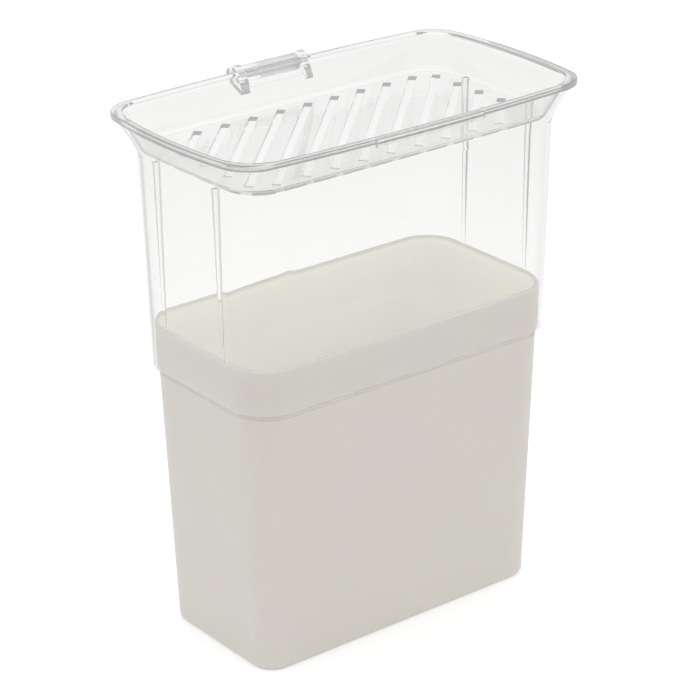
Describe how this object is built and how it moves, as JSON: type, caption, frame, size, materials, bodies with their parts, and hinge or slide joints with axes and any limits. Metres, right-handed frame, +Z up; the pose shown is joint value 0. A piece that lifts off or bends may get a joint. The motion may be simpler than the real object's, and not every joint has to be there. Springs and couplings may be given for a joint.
{
  "type": "herb keeper",
  "caption": "Tall telescoping herb keeper: a frosted bin, a clear sleeve that slides up over it, and a hinged clear lid dished as a strainer with diagonal drain slots.",
  "frame": {"origin": "middle of the bin's underside, on the surface that it stands on", "axes": "+Z up, +X along the long side to the right, +Y to the rear, where the lid's hinge is"},
  "size_m": [0.2018, 0.1235, 0.2538],
  "materials": {
    "frosted_plastic": "fine satin, translucent off-white",
    "clear_plastic": "polished, transparent"
  },
  "bodies": {
    "bin": {"base_container": "frosted_plastic"},
    "sleeve": {"telescoping_sleeve": "clear_plastic", "hinge_pin": "frosted_plastic"},
    "lid": {"strainer_lid": "clear_plastic"}
  },
  "joints": [
    {"name": "sleeve_slide", "type": "slide", "parent": "bin", "child": "sleeve", "axis": [0, 0, 1], "range_m": [-0.08, 0]},
    {"name": "lid_hinge", "type": "hinge", "parent": "sleeve", "child": "lid", "pos_m": [0, 0.05948, 0.249], "axis": [-1, 0, 0], "range_deg": [0, 245]}
  ]
}
